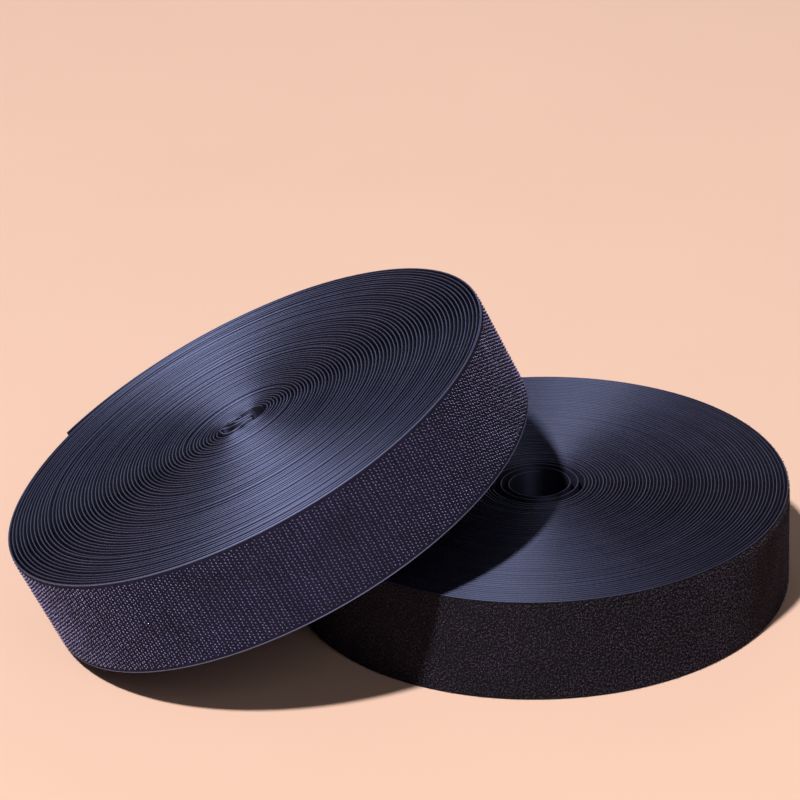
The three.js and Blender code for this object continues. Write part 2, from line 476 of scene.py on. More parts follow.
def sweep_tape(tree, given, curve):
    """Sweeps the tape's section along a line in the roll's axes, waves its edges and places it.

    The line's points hold their distance along the tape in the attribute along.
    """
    height = less(tree, given["High Edge"], given["Low Edge"])
    values = {"Width": given["Thickness"], "Height": height}
    section = result(tree, "GeometryNodeCurvePrimitiveQuadrilateral", values)
    values = {"Curve": section, "Count": given["Bevel Steps"], "Radius": given["Bevel"]}
    rounded = result(tree, "GeometryNodeFilletCurve", values, mode="POLY")
    profile = keep(tree, rounded, "depth", position(tree)["X"])
    upright = result(tree, "GeometryNodeSetCurveNormal", {"Curve": curve}, mode="Z_UP")
    swept = sweep(tree, upright, profile)

    # Height over the roll's lower face
    corner = position(tree)
    middle = times(tree, plus(tree, given["High Edge"], given["Low Edge"]), 0.5)
    swept = keep(tree, swept, "across", plus(tree, corner["Z"], middle))

    # Single turns stand a little proud of the upper face, or a little inside the lower one
    share = over(tree, corner["Z"], height)
    upper = plus(tree, share, 0.5)
    lower = less(tree, 0.5, share)
    along = named(tree, "along")
    rate = over(tree, 1.0, given["Wave Length"])
    top_wave = noise_line(tree, along, rate, given["Seed"])
    foot_seed = plus(tree, given["Seed"], FOOT_SEED)
    foot_wave = calc(tree, "ABSOLUTE", noise_line(tree, along, rate, foot_seed))
    rise = plus(tree, times(tree, upper, top_wave), times(tree, lower, foot_wave))
    lift = scaled(tree, rise, given["Edge Wave"], middle)

    # The eye of the roll is pressed into an oval, and the turns round it follow less and less
    x, y = corner["X"], corner["Y"]
    squares = plus(tree, calc(tree, "POWER", x, 2.0), calc(tree, "POWER", y, 2.0))
    radius = calc(tree, "SQRT", squares)
    angle = calc(tree, "ARCTAN2", y, x)
    twice = times(tree, less(tree, angle, given["Oval Angle"]), 2.0)
    inner = calc(tree, "MINIMUM", over(tree, radius, given["Eye Radius"]), 1.0)
    past = at_least(tree, less(tree, radius, given["Eye Radius"]), 0.0)
    fade = at_least(tree, less(tree, 1.0, over(tree, past, given["Oval Reach"])), 0.0)
    press = times(tree, inner, fade, given["Eye Oval"])
    push = times(tree, press, calc(tree, "COSINE", twice))
    scale = over(tree, push, at_least(tree, radius, TINY))
    offset = vector(tree, times(tree, x, scale), times(tree, y, scale), lift)
    shaped = result(tree, "GeometryNodeSetPosition", {"Geometry": swept, "Offset": offset})

    uv = vector(tree, along, plus(tree, named(tree, "across"), named(tree, "depth")))
    mapped = keep(tree, shaped, "UVMap", uv, "FLOAT2", "CORNER")
    bend = put(tree, "GeometryNodeInputMeshEdgeAngle").outputs["Unsigned Angle"]
    values = {"A": bend, "B": SHARP_BEND}
    sharp = result(tree, "FunctionNodeCompare", values, operation="GREATER_THAN")
    creased = keep(tree, mapped, "sharp_edge", sharp, "BOOLEAN", "EDGE")
    return set_in_place(tree, given, creased)


def sweep(tree, curve, profile):
    values = {"Curve": curve, "Profile Curve": profile, "Fill Caps": True}
    return result(tree, "GeometryNodeCurveToMesh", values)


def set_in_place(tree, given, geometry):
    """Moves a roll's geometry into the row frame, makes it real and gives it its material."""
    turned = vector(tree, 0.0, times(tree, given["Lean"], -1.0), 0.0)
    values = {"Geometry": geometry, "Translation": given["Place"], "Rotation": turned}
    moved = result(tree, "GeometryNodeTransform", values)
    real = result(tree, "GeometryNodeRealizeInstances", {"Geometry": moved})
    values = {"Geometry": real, "Material": given["Material"]}
    return result(tree, "GeometryNodeSetMaterial", values)


def spiral_rule(tree, given, turns, inset):
    """Place, angle and distance along the tape at a number of turns back from its outer end."""
    into_tail = less(tree, 1.0, over(tree, turns, given["Tail Turns"]))
    slack = calc(tree, "POWER", at_least(tree, into_tail, 0.0), 2.0)
    lift = times(tree, slack, given["Tail Lift"])
    wound = less(tree, given["End Radius"], times(tree, given["Pitch"], turns))
    radius = less(tree, plus(tree, wound, lift), inset)
    angle = less(tree, given["End Angle"], times(tree, turns, FULL_TURN))
    x = times(tree, radius, calc(tree, "COSINE", angle))
    y = times(tree, radius, calc(tree, "SINE", angle))
    mean = less(tree, given["End Radius"], times(tree, given["Pitch"], turns, 0.5))
    along = times(tree, mean, turns, FULL_TURN)
    return x, y, angle, along


def between(tree, given, factor):
    """Turns back from the outer end, at a share of the way along a stretch of tape."""
    run = less(tree, given["To Turns"], given["From Turns"])
    return scaled(tree, run, factor, given["From Turns"])


def wound_tape_tree():
    """A stretch of the wound tape, as a flat spiral whose inner turns wander in and out."""
    own = [("Points", "Int"), *floats("Inset", "Wander")]
    tree, given, out = new_tree("Wound Tape", own + SPIRAL_INPUTS + SECTION_INPUTS)
    line = result(tree, "GeometryNodeCurvePrimitiveLine")
    values = {"Curve": line, "Count": given["Points"]}
    stepped = result(tree, "GeometryNodeResampleCurve", values, mode="COUNT")
    turns = between(tree, given, put(tree, "GeometryNodeSplineParameter").outputs["Factor"])
    *_, even = spiral_rule(tree, given, turns, given["Inset"])
    past = less(tree, turns, plus(tree, given["Tail Turns"], 1.0))
    loose = ranged(tree, past, 0.0, WANDER_TURNS, 0.0, given["Wander"])
    stray = times(tree, noise_line(tree, even, WANDER_RATE, given["Seed"]), loose)
    inset = plus(tree, given["Inset"], stray)
    x, y, _, along = spiral_rule(tree, given, turns, inset)
    measured = keep(tree, stepped, "along", along)
    place = vector(tree, x, y, 0.0)
    spiral = result(tree, "GeometryNodeSetPosition", {"Geometry": measured, "Position": place})
    feed(tree, out.inputs[0], sweep_tape(tree, given, spiral))
    return tree


def path_tape_tree():
    """A stretch of tape along the line that the object's own points give."""
    tree, given, out = new_tree("Tape On A Path", [("Path", "Geometry")] + SECTION_INPUTS)
    line = result(tree, "GeometryNodeMeshToCurve", {"Mesh": given["Path"]})
    run = put(tree, "GeometryNodeSplineParameter").outputs["Length"]
    feed(tree, out.inputs[0], sweep_tape(tree, given, keep(tree, line, "along", run)))
    return tree


def chance(tree, given, what, low, high):
    """A random number for each point, with a fixed seed."""
    seed = plus(tree, given["Seed"], float(SALTS[what]))
    node = put(tree, "FunctionNodeRandomValue", {"Seed": seed}, data_type="FLOAT")
    least, most = [socket for socket in node.inputs if socket.enabled][:2]
    feed(tree, least, low)
    feed(tree, most, high)
    return next(socket for socket in node.outputs if socket.enabled)


def field_points(tree, given, jitter):
    """Points in columns and rows on the outer face of the tape, and the angle of each."""
    counts = {"Vertices X": given["Columns"], "Vertices Y": given["Rows"]}
    grid = result(tree, "GeometryNodeMeshGrid", {"Size X": 1.0, "Size Y": 1.0, **counts})
    flat = position(tree)
    column_step = over(tree, jitter, given["Columns"])
    row_step = over(tree, jitter, given["Rows"])
    column_stray = times(tree, chance(tree, given, "column", -0.5, 0.5), column_step)
    row_stray = times(tree, chance(tree, given, "row", -0.5, 0.5), row_step)
    share = plus(tree, flat["X"], 0.5, column_stray)
    level = plus(tree, flat["Y"], 0.5, row_stray)
    x, y, angle, _ = spiral_rule(tree, given, between(tree, given, share), 0.0)
    rise = less(tree, given["High Edge"], given["Low Edge"])
    place = vector(tree, x, y, scaled(tree, rise, level, given["Low Edge"]))
    turned = keep(tree, grid, "angle", angle)
    return result(tree, "GeometryNodeSetPosition", {"Geometry": turned, "Position": place})


def filament(tree, given, bend, steps):
    """A thin bent tube whose points keep how near they are to its tip. X is outwards."""
    height = given["Height"]
    values = {"Resolution": steps}
    for label, corner in zip(("Start", "Start Handle", "End Handle", "End"), bend):
        values[label] = vector(tree, *(times(tree, height, part) for part in corner))
    curve = result(tree, "GeometryNodeCurvePrimitiveBezierSegment", values, mode="POSITION")
    section = {"Resolution": FILAMENT_SIDES, "Radius": given["Filament"]}
    ring = result(tree, "GeometryNodeCurvePrimitiveCircle", section)
    # Nearness to the tip, which sets painted shade at the roots and a painted highlight at the
    # tips of hooks and loops
    near = over(tree, position(tree)["X"], height)
    marked = keep(tree, sweep(tree, curve, ring), "tip", near)
    return result(tree, "GeometryNodeSetShadeSmooth", {"Geometry": marked})


def plant(tree, given, points, thread, spin, size):
    """Sets a filament on each point, spun about its own axis, with a shade of its own."""
    angle = vector(tree, 0.0, 0.0, named(tree, "angle"))
    values = {"Points": points, "Instance": thread, "Rotation": angle, "Scale": size}
    stood = result(tree, "GeometryNodeInstanceOnPoints", values)
    spun = result(tree, "GeometryNodeRotateInstances", {"Instances": stood, "Rotation": spin})
    shade = chance(tree, given, "shade", 0.0, 1.0)
    shaded = keep(tree, spun, "shade", shade, "FLOAT", "INSTANCE")
    return set_in_place(tree, given, shaded)


def hook_field_tree():
    """Rows of hooks on a stretch of tape, in columns that bend to alternate sides."""
    tree, given, out = new_tree("Hook Field", SPIRAL_INPUTS + FIELD_INPUTS)
    points = field_points(tree, given, HOOK_JITTER)
    index = result(tree, "GeometryNodeInputIndex")
    column = calc(tree, "FLOOR", over(tree, index, given["Rows"]))
    odd = calc(tree, "FLOORED_MODULO", column, 2.0)
    slant = plus(tree, chance(tree, given, "spin", -HOOK_STRAY, HOOK_STRAY), -HOOK_SLANT)
    spin = vector(tree, scaled(tree, odd, math.pi, slant), 0.0, 0.0)
    size = chance(tree, given, "size", HOOK_LEAST, 1.0)
    hook = filament(tree, given, HOOK_BEND, HOOK_BEND_STEPS)
    feed(tree, out.inputs[0], plant(tree, given, points, hook, spin, size))
    return tree


def loop_pile_tree():
    """Brushed loops on a stretch of tape, turned every way."""
    tree, given, out = new_tree("Loop Pile", SPIRAL_INPUTS + FIELD_INPUTS)
    points = field_points(tree, given, LOOP_JITTER)
    spin = vector(
        tree,
        chance(tree, given, "spin", 0.0, FULL_TURN),
        chance(tree, given, "tilt", -LOOP_TILT, LOOP_TILT),
        chance(tree, given, "twist", -LOOP_TILT, LOOP_TILT),
    )
    size = chance(tree, given, "size", LOOP_LEAST, 1.0)
    loop = filament(tree, given, LOOP_BEND, LOOP_BEND_STEPS)
    feed(tree, out.inputs[0], plant(tree, given, points, loop, spin, size))
    return tree


# Pieces


def read(items, key, kind):
    values = np.empty(len(items), dtype=kind)
    items.foreach_get(key, values)
    return values


def edge_faces(mesh, values):
    """Which faces lie on the rounded upper and lower edges of a web."""
    across = read(mesh.attributes["across"].data, "value", np.float32)
    starts = read(mesh.polygons, "loop_start", np.int32)
    level = across[read(mesh.loops, "vertex_index", np.int32)]
    rise = np.maximum.reduceat(level, starts) - np.minimum.reduceat(level, starts)
    return rise < values["Bevel"] * EDGE_RISE


def grow(name, tree, values, path=None):
    """Runs a tree on a new object and keeps the result as that object's plain mesh."""
    mesh = bpy.data.meshes.new(name)
    if path:
        mesh.from_pydata(path, [(i, i + 1) for i in range(len(path) - 1)], [])
    piece = bpy.data.objects.new(name, mesh)
    bpy.context.scene.collection.objects.link(piece)
    modifier = piece.modifiers.new("Build", "NODES")
    modifier.node_group = tree
    for item in tree.interface.items_tree:
        if item.in_out == "INPUT" and item.name in values:
            modifier[item.identifier] = values[item.name]
    graph = bpy.context.evaluated_depsgraph_get()
    made = bpy.data.meshes.new_from_object(piece.evaluated_get(graph))
    if not made.polygons:
        raise RuntimeError(f"{name}: the tree {tree.name} made no faces")
    piece.modifiers.remove(modifier)
    made.materials.clear()
    made.materials.append(values["Material"])
    finish = np.zeros(len(made.polygons), dtype=np.int32)
    # Edge faces take the lighter edge yarn; all others keep the web's colour, darkened as painted
    # shade between the turns
    if "Edge Material" in values:
        made.materials.append(values["Edge Material"])
        finish[edge_faces(made, values)] = 1
    made.polygons.foreach_set("material_index", finish)
    piece.data = made
    made.name = name
    bpy.data.meshes.remove(mesh)
    return piece


def spiral_values(roll, from_turns, to_turns):
    return {
        "From Turns": from_turns,
        "To Turns": to_turns,
        "End Radius": roll.end_radius,
        "Pitch": roll.pitch,
        "End Angle": roll.end_angle,
        "Tail Turns": roll.tail_turns,
        "Tail Lift": roll.tail_lift,
        "Place": tuple(roll.place),
        "Lean": roll.lean,
    }


def section_values(roll, thickness, low, high, wave, material, seed=0.0, rounding=SLIGHT_ROUND):
    return {
        "Thickness": thickness,
        "Bevel": thickness * rounding[0],
        "Bevel Steps": rounding[1],
        "Low Edge": low,
        "High Edge": high,
        "Edge Wave": wave,
        "Wave Length": WAVE_LENGTH,
        "Seed": seed,
        "Eye Radius": HOOK_EYE_RADIUS,
        "Eye Oval": EYE_OVAL if roll.name == "hook" else 0.0,
        "Oval Reach": EYE_OVAL_REACH,
        "Oval Angle": EYE_OVAL_ANGLE,
        "Place": tuple(roll.place),
        "Lean": roll.lean,
        "Material": material,
    }


def web_values(roll, wave, seed=0.0):
    """Section of the woven ground, from edge to edge, with rounded selvedges."""
    size = sizes()
    # The web's faces take a colour darkened as painted shade; its rounded edges take the lighter
    # edge yarn
    web = made_once(roll.name + "_shaded_web_yarn", shaded_web_yarn, roll.name)
    edge = made_once(roll.name + "_edge_yarn", edge_yarn, roll.name, EDGE_GLOSS)
    thickness, width = size.edge_thickness, size.width
    values = section_values(roll, thickness, 0.0, width, wave, web, seed, FULL_ROUND)
    return {**values, "Edge Material": edge}


def wind(name, roll, from_turns, to_turns, steps, inset, section):
    values = {
        **spiral_values(roll, from_turns, to_turns),
        **section,
        "Points": max(LEAST_POINTS, round(abs(from_turns - to_turns) * steps) + 1),
        "Inset": inset,
        "Wander": TURN_WANDER * roll.looseness,
    }
    return grow(name, tree_named("Wound Tape", wound_tape_tree), values)


class OBJECT_OT_wind_tapes(bpy.types.Operator):
    """Winds the woven grounds of both tapes, with the pile that fills the space between turns"""

    bl_idname = "object.wind_tapes"
    bl_label = "Wind Both Tapes"

    def execute(self, context):
        size = sizes()
        for roll in (hook_roll(), loop_roll()):
            name = roll.name
            root = roll.tail_turns
            start = roll.turns_at(roll.inner_radius + roll.web)
            wave = size.edge_wave * roll.looseness
            web = web_values(roll, wave)
            inset = size.edge_thickness / 2
            winding = wind(name + "_winding", roll, start, root, WINDING_STEPS, inset, web)
            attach(winding, name + "_roll")
            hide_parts(name + "_core_turns", name + "_wound_turns", name + "_outer_turn")

            space = roll.pitch - roll.web
            low = size.selvedge * FILLING_EDGE[name]
            high = size.width - low
            # The filling between the turns takes a nearly black colour, painted shade
            ends = made_once(name + "_pile_ends", shaded_pile_ends, name)
            pile = section_values(roll, space * FILLING_SHARE, low, high, wave, ends, FILLING_SEED)
            filling = wind(
                name + "_wound_pile", roll, start, root + 1, FILLING_STEPS, -space / 2, pile
            )
            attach(filling, name + "_roll")
        return {"FINISHED"}


class OBJECT_OT_inner_ends(bpy.types.Operator):
    """Makes the inner ends of both tapes: one folded across its eye, one in loose turns"""

    bl_idname = "object.inner_ends"
    bl_label = "Make Inner Ends"

    def execute(self, context):
        size = sizes()
        hook = hook_roll()
        values = {
            **web_values(hook, FOLD_WAVE, FOLD_SEED),
            "Wave Length": FOLD_WAVE_LENGTH,
            "Eye Oval": 0.0,
            "Low Edge": FOLD_PROUD,
            "High Edge": size.width + FOLD_PROUD,
            "Edge Material": made_once("hook_fold_yarn", edge_yarn, "hook", FOLD_GLOSS),
        }
        path = [(x, y, 0.0) for x, y in folded_path(hook)]
        fold = grow("hook_fold", tree_named("Tape On A Path", path_tape_tree), values, path)
        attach(fold, "hook_roll")
        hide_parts("hook_inner_end")

        loop = loop_roll()
        outside = LOOP_CORE_RADIUS - SEAT_CLEARANCE
        inside = LOOP_EYE_RADIUS + loop.web
        values = {
            **spiral_values(loop, LOOSE_TURNS, 0.0),
            **web_values(loop, LOOSE_WAVE, LOOSE_SEED),
            "End Radius": outside,
            "Pitch": (outside - inside) / LOOSE_TURNS,
            "End Angle": loop.root_angle + FULL_TURN * LOOSE_TURNS,
            "Tail Lift": 0.0,
            "Points": round(LOOSE_TURNS * WINDING_STEPS) + 1,
            "Inset": size.edge_thickness / 2,
        }
        loose = grow("loop_loose_turns", tree_named("Wound Tape", wound_tape_tree), values)
        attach(loose, "loop_roll")
        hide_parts("loop_inner_turns")
        return {"FINISHED"}


def smooth_line(corners, steps):
    """Points on a smooth line through all corners."""
    points = []
    for k in range(len(corners) - 1):
        before = corners[max(k - 1, 0)]
        start, end = corners[k], corners[k + 1]
        after = corners[min(k + 2, len(corners) - 1)]
        for j in range(steps):
            t = j / steps
            bend = 2 * before - 5 * start + 4 * end - after
            twist = 3 * start - before - 3 * end + after
            points.append(start + ((end - before) * t + bend * t**2 + twist * t**3) / 2)
    points.append(corners[-1])
    return points


def folded_path(roll):
    """The hook tape's inner end: along the wall of the pressed eye, then crumpled to and fro."""
    wall = HOOK_EYE_RADIUS - SEAT_CLEARANCE * 2 - roll.web / 2
    oval = EYE_OVAL * (wall / HOOK_EYE_RADIUS)
    corners = []
    for k in range(EYE_WALL_STEPS + 1):
        angle = FOLD_FROM + (FOLD_AT - FOLD_FROM) * k / EYE_WALL_STEPS
        radius = wall + oval * math.cos(2 * (angle - EYE_OVAL_ANGLE))
        corners.append(Vector((math.cos(angle), math.sin(angle))) * radius)
    corners += [Vector(corner) * MM for corner in FOLD_CORNERS]
    return smooth_line(corners, FOLD_STEPS)


def patch(name, roll, from_turns, to_turns, seed):
    """Hooks or brushed loops on a stretch of tape. They lean out over the selvedge."""
    size = sizes()
    margin = size.selvedge * FIELD_EDGE[roll.name]
    run = abs(from_turns - to_turns) * FULL_TURN * roll.end_radius
    if roll.name == "hook":
        tree = tree_named("Hook Field", hook_field_tree)
        column, row = size.hook_spacing, size.hook_row
        height, thickness = roll.pile * HOOK_LOW, HOOK_FILAMENT
        material = made_once("hook_filament", hook_nylon)
    else:
        tree = tree_named("Loop Pile", loop_pile_tree)
        column = row = size.loop_spacing
        height, thickness = roll.pile + SEAT_CLEARANCE, LOOP_FILAMENT
        material = made_once("loop_yarn", loop_yarn)
    values = {
        **spiral_values(roll, from_turns, to_turns),
        "Columns": max(LEAST_COLUMNS, round(run / column)),
        "Rows": round((size.width - 2 * margin) / row),
        "Low Edge": margin,
        "High Edge": size.width - margin,
        "Seed": seed,
        "Height": height,
        "Filament": thickness,
        "Material": material,
    }
    return grow(name, tree, values)


def ground(name, roll, from_turns, to_turns, steps):
    """The matt ground that the pile stands in, on the outer face of the web."""
    # The ground's colour carries painted shade among the pile
    yarn = made_once(roll.name + "_ground_yarn", shaded_ground_yarn, roll.name)
    top = sizes().width - GROUND_MARGIN
    section = section_values(roll, GROUND_THICKNESS, GROUND_MARGIN, top, 0.0, yarn)
    return wind(name, roll, from_turns, to_turns, steps, -GROUND_THICKNESS / 2, section)


def rims(name, roll, from_turns, to_turns, steps):
    """The tight outermost threads of the hook tape's selvedges, which stand a little proud."""
    yarn = made_once("hook_rim_yarn", edge_yarn, roll.name, RIM_GLOSS)
    foot = GROUND_MARGIN / 2
    top = sizes().width - GROUND_MARGIN / 2 - RIM_WIDTH
    made = []
    for label, low in (("low", foot), ("high", top)):
        section = section_values(
            roll, RIM_THICKNESS, low, low + RIM_WIDTH, 0.0, yarn, rounding=FULL_ROUND
        )
        inset = -RIM_THICKNESS / 4
        made.append(wind(f"{name}_{label}", roll, from_turns, to_turns, steps, inset, section))
    return made


def cover(roll, kind, pieces):
    """Covers the outermost turn with pile on its ground, in a few pieces of equal length."""
    first = roll.tail_turns + 1
    bed = ground(roll.name + "_ground", roll, first, roll.tail_turns, WINDING_STEPS)
    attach(bed, roll.name + "_roll")
    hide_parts(roll.name + "_pile_band")
    if roll.name == "hook":
        for rim in rims("hook_rim", roll, first, roll.tail_turns, WINDING_STEPS):
            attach(rim, "hook_roll")
    for k in range(pieces):
        start, end = first - k / pieces, first - (k + 1) / pieces
        piece = patch(f"{roll.name}_{kind}_{k + 1}", roll, start, end, FIELD_SEED + k)
        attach(piece, roll.name + "_roll")


class OBJECT_OT_hook_field(bpy.types.Operator):
    """Plants the rows of hooks on the hook roll's outermost turn"""

    bl_idname = "object.hook_field"
    bl_label = "Plant Hooks"

    def execute(self, context):
        cover(hook_roll(), "hooks", HOOK_PIECES)
        return {"FINISHED"}


class OBJECT_OT_loop_pile(bpy.types.Operator):
    """Brushes the loops up on the loop roll's outermost turn"""

    bl_idname = "object.loop_pile"
    bl_label = "Raise Loops"

    def execute(self, context):
        cover(loop_roll(), "loops", LOOP_PIECES)
        return {"FINISHED"}


class OBJECT_OT_tape_tails(bpy.types.Operator):
    """Makes the loose outer end of each tape, with its ground, its pile and, on the hook tape, its
    rims
    """

    bl_idname = "object.tape_tails"
    bl_label = "Make Tails"

    def execute(self, context):
        size = sizes()
        for roll in (hook_roll(), loop_roll()):
            name = roll.name
            root = roll.tail_turns
            web = web_values(roll, size.edge_wave * roll.looseness)
            inset = size.edge_thickness / 2
            tail = wind(name + "_tail_web", roll, root, 0.0, TAIL_STEPS, inset, web)
            bed = ground(name + "_tail_ground", roll, root, 0.0, TAIL_STEPS)
            pile = patch(name + "_tail_field", roll, root, 0.0, TAIL_SEED)
            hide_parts(name + "_tail")
            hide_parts(name + "_tail_pile")
            middle = size.width / 2
            start = roll.wall_point(root, middle)
            end = roll.wall_point(root * BLEND_END, middle)
            edges = rims("hook_tail_rim", roll, root, 0.0, TAIL_STEPS) if name == "hook" else []
            for piece in (tail, bed, pile, *edges):
                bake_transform(piece)
        return {"FINISHED"}


# Finishes


def weave_group():
    """A plain weave on the tape's own map: the crowns of its threads, and a shade for each."""
    inputs = [("Map", "Vector"), *floats("Weft", "Warp")]
    outputs = floats("Height", "Shade")
    tree, given, out = new_tree("Plain Weave", inputs, outputs, "ShaderNodeTree")
    place = parts_of(tree, given["Map"])
    steps = over(tree, place["X"], given["Weft"]), over(tree, place["Y"], given["Warp"])
    waves = [calc(tree, "SINE", times(tree, step, math.pi)) for step in steps]
    crowns = [calc(tree, "ABSOLUTE", wave) for wave in waves]
    feed(tree, out.inputs["Height"], times(tree, *crowns))
    cell = vector(tree, *(calc(tree, "FLOOR", step) for step in steps))
    spot = put(tree, "ShaderNodeTexWhiteNoise", {"Vector": cell}, noise_dimensions="2D")
    feed(tree, out.inputs["Shade"], spot.outputs["Value"])
    return tree


def mottle_group():
    """Slow changes of tone over the roll, as on handled yarn."""
    inputs = [("Place", "Vector"), *floats("Scale", "Least", "Most")]
    tree, given, out = new_tree("Yarn Mottle", inputs, floats("Tone"), "ShaderNodeTree")
    values = {"Vector": given["Place"], "Scale": given["Scale"], "Detail": 4.0, "Roughness": 0.6}
    cloud = result(tree, "ShaderNodeTexNoise", values)
    tones = given["Least"], given["Most"]
    feed(tree, out.inputs["Tone"], ranged(tree, cloud, *CLOUD_RANGE, *tones))
    return tree


def use_group(tree, name, maker, inputs):
    return put(tree, "ShaderNodeGroup", inputs, node_tree=tree_named(name, maker)).outputs


def tape_map(tree):
    return result(tree, "ShaderNodeUVMap", uv_map="UVMap")


def weave(tree, uv, threads):
    values = {"Map": uv, "Weft": threads[0], "Warp": threads[1]}
    return use_group(tree, "Plain Weave", weave_group, values)


def mottle(tree, scale, least, most):
    place = put(tree, "ShaderNodeTexCoord").outputs["Object"]
    values = {"Place": place, "Scale": scale, "Least": least, "Most": most}
    return use_group(tree, "Yarn Mottle", mottle_group, values)["Tone"]


def tinted(tree, tint, tone):
    """A colour times a number."""
    values = {0: tuple(tint), "Scale": tone}
    return put(tree, "ShaderNodeVectorMath", values, operation="SCALE").outputs["Vector"]


def raised(tree, height, strength, distance):
    """The normal of a surface that stands up by that height."""
    values = {"Height": height, "Strength": strength, "Distance": distance}
    return result(tree, "ShaderNodeBump", values)


def attribute(tree, name):
    return put(tree, "ShaderNodeAttribute", attribute_name=name).outputs["Fac"]


def tip_highlight_root_shade(tree, root, root_shade, tip_highlight):
    """The tone of a filament from the top of its root to its tip: painted shade darkens the root
    and a painted highlight lightens the tip.
    """
    return ranged(tree, attribute(tree, "tip"), root, 1.0, root_shade, tip_highlight)


def made_once(label, fill, *details):
    """The material of that name, which fill makes when it is first asked for."""
    material = bpy.data.materials.get(label)
    if not material:
        material = bpy.data.materials.new(label)
        material.use_nodes = True
        tree = material.node_tree
        look = fill(tree, *details)
        feed_all(tree, tree.nodes["Principled BSDF"].inputs, look)
    return material


def along_threads(tree, gloss, rotation):
    """What makes threads that run along the tape shine across their length."""
    way = result(tree, "ShaderNodeTangent", direction_type="UV_MAP", uv_map="UVMap")
    return {
        "Specular Tint": YARN_TINT,
        "Anisotropic": gloss,
        "Anisotropic Rotation": rotation,
        "Tangent": way,
    }


def shaded_web_yarn(tree, name):
    """Woven nylon ground, dull, coloured much darker than the edge threads as painted shade where
    it stands between the turns.
    """
    tint = getattr(colours(), name + "_web")
    threads = weave(tree, tape_map(tree), FINE_WEAVE)
    thread_tone = scaled(tree, threads["Shade"], factor=0.7, start=0.65)
    tone = times(tree, mottle(tree, scale=60.0, least=0.75, most=1.2), thread_tone)
    return {
        "Base Color": tinted(tree, tint, tone),
        "Roughness": scaled(tree, threads["Shade"], factor=0.2, start=0.45),
        "IOR": 1.9 if name == "hook" else 2.2,
        "Normal": raised(tree, threads["Height"], strength=0.5, distance=0.08 * MM),
        **along_threads(tree, gloss=0.8, rotation=0.25),
    }


def edge_yarn(tree, name, gloss):
    """Tight glossy threads along the tape's edges, which shine in two sectors of a roll's face."""
    tint = getattr(colours(), name + "_edge")
    uv = tape_map(tree)
    threads = weave(tree, uv, FINE_WEAVE)
    values = {"Vector": uv, "Scale": 1400.0, "Detail": 2.0, "Roughness": 0.7}
    grain = result(tree, "ShaderNodeTexNoise", values, noise_dimensions="2D")
    # Specks from 0.3 to 2.2 times the edge colour: random thread tone and painted glints on the
    # threads
    tone_and_glints = ranged(tree, grain, low=0.35, high=0.68, to_low=0.3, to_high=2.2)
    run = parts_of(tree, uv)["X"]
    streak = noise_line(tree, run, scale=3.0, seed=1.0, detail=3.0)
    band = noise_line(tree, run, scale=0.4, seed=6.0)
    uneven = times(tree, streak, STREAK_SHARE), times(tree, band, BAND_SHARE)
    turns = plus(tree, *uneven, 1.0)
    tone = times(tree, turns, mottle(tree, scale=60.0, least=0.75, most=1.2), tone_and_glints)
    matt = scaled(tree, less(tree, 1.0, grain), factor=0.45, start=0.36)
    height = plus(tree, threads["Height"], grain)
    return {
        "Base Color": tinted(tree, tint, tone),
        "Roughness": scaled(tree, streak, factor=-0.3, start=matt),
        "IOR": 2.7 if name == "hook" else 1.9,
        "Specular IOR Level": 1.0,
        "Normal": raised(tree, height, strength=0.4, distance=0.08 * MM),
        **along_threads(tree, gloss, rotation=0.267 if name == "hook" else 0.25),
    }


def shaded_pile_ends(tree, name):
    """The pile between the turns, seen only end on, its colour dimmed nearly to black as painted
    shade in the deep gaps.
    """
    tint = getattr(colours(), name + "s")
    # Tones of 0.002 to 0.02 of the pile's colour (up to 0.2 for loops): painted shade in the gaps
    # between turns
    tone = mottle(tree, scale=1500.0, least=0.002, most=0.02 if name == "hook" else 0.2)
    return {
        "Base Color": tinted(tree, tint, tone),
        "Roughness": 0.95,
        "Specular IOR Level": 0.05,
        "Normal": raised(tree, tone, strength=1.0, distance=0.4 * MM),
    }


def shaded_ground_yarn(tree, name):
    """Matt woven ground between the hooks or under the loops, without the selvedge's gloss, its
    dark yarn colour darkened further as painted shade among the pile.
    """
    tint = getattr(colours(), name + "_ground")
    threads = weave(tree, tape_map(tree), GROUND_WEAVE)
    thread_tone = scaled(tree, threads["Shade"], factor=0.8, start=0.6)
    tone = times(tree, mottle(tree, scale=90.0, least=0.8, most=1.2), thread_tone)
    return {
        "Base Color": tinted(tree, tint, tone),
        "Roughness": scaled(tree, threads["Shade"], factor=0.15, start=0.8),
        "Specular IOR Level": 0.2,
        "Normal": raised(tree, threads["Height"], strength=0.6, distance=0.15 * MM),
    }


def hook_nylon(tree):
    """Stiff nylon filament, half matt, each hook a little lighter or darker, with painted shade at
    its root and a painted highlight towards its tip.
    """
    shade = attribute(tree, "shade")
    # Root dimmed to 0.08 and tip raised to 1.45 of the colour: painted shade and painted highlight
    tip = tip_highlight_root_shade(tree, root=0.7, root_shade=0.08, tip_highlight=1.45)
    patches = mottle(tree, scale=45.0, least=0.7, most=1.25)
    tone = times(tree, scaled(tree, shade, factor=0.9, start=0.55), patches, tip)
    return {
        "Base Color": tinted(tree, colours().hooks, tone),
        "Roughness": scaled(tree, shade, factor=0.2, start=0.28),
        "IOR": 1.7,
        "Specular IOR Level": 1.0,
        "Specular Tint": HOOK_TINT,
    }


